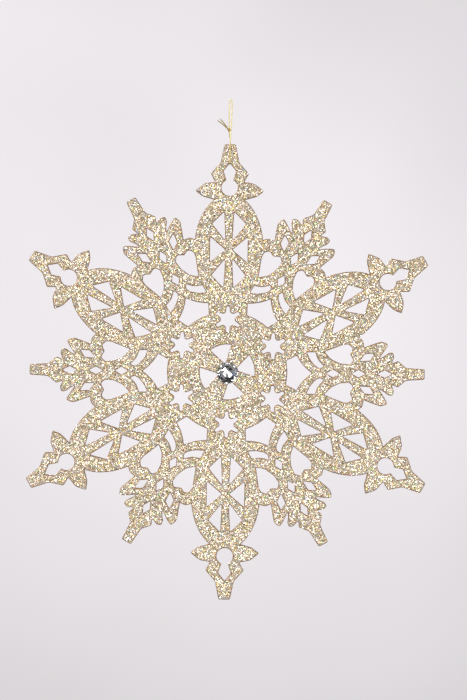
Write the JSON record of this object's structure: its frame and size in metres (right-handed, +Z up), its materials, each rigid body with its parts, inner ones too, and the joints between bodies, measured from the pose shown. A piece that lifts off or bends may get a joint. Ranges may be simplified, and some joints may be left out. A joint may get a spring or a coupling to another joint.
{
  "type": "glittered snowflake ornament",
  "caption": "Flat pierced snowflake hanging ornament with champagne glitter on both faces, a faceted clear stone at its centre and a knotted gold thread loop.",
  "frame": {"origin": "axis of the pin or hook that the thread loop hangs on, inside the top of the loop", "axes": "+Z up along the long arms that stand vertical, +X to the right seen from the front, the front face looks along -Y"},
  "size_m": [0.1448, 0.0056, 0.1817],
  "materials": {
    "core_plastic": "satin moulded plastic, light bronze",
    "glitter": "champagne glitter flakes in clear glue",
    "stone": "polished facets, clear",
    "foil": "silver mirror foil",
    "glue": "clear set glue",
    "gold_thread": "twisted metallic gold thread"
  },
  "bodies": {
    "hanging_thread": {"thread_front_run": "gold_thread", "thread_back_run": "gold_thread", "thread_knot": "gold_thread", "thread_tail_long": "gold_thread", "thread_tail_short": "gold_thread"},
    "thread_bend": {"thread_bight": "gold_thread"},
    "snowflake": {"snowflake_core": "core_plastic", "front_glitter_coat": "glitter", "back_glitter_coat": "glitter", "rhinestone": "stone", "rhinestone_foil": "foil", "glue_dab": "glue"}
  },
  "joints": [
    {"name": "thread_twist", "type": "hinge", "parent": "hanging_thread", "child": "thread_bend", "pos_m": [0, 0, -0.012], "axis": [0, 0, 1], "range_deg": [-180, 180], "deforming": ["thread_front_run", "thread_back_run"]},
    {"name": "keyhole_rock", "type": "hinge", "parent": "thread_bend", "child": "snowflake", "pos_m": [0, 0, -0.02288], "axis": [0, 1, 0], "range_deg": [-40, 40]}
  ]
}
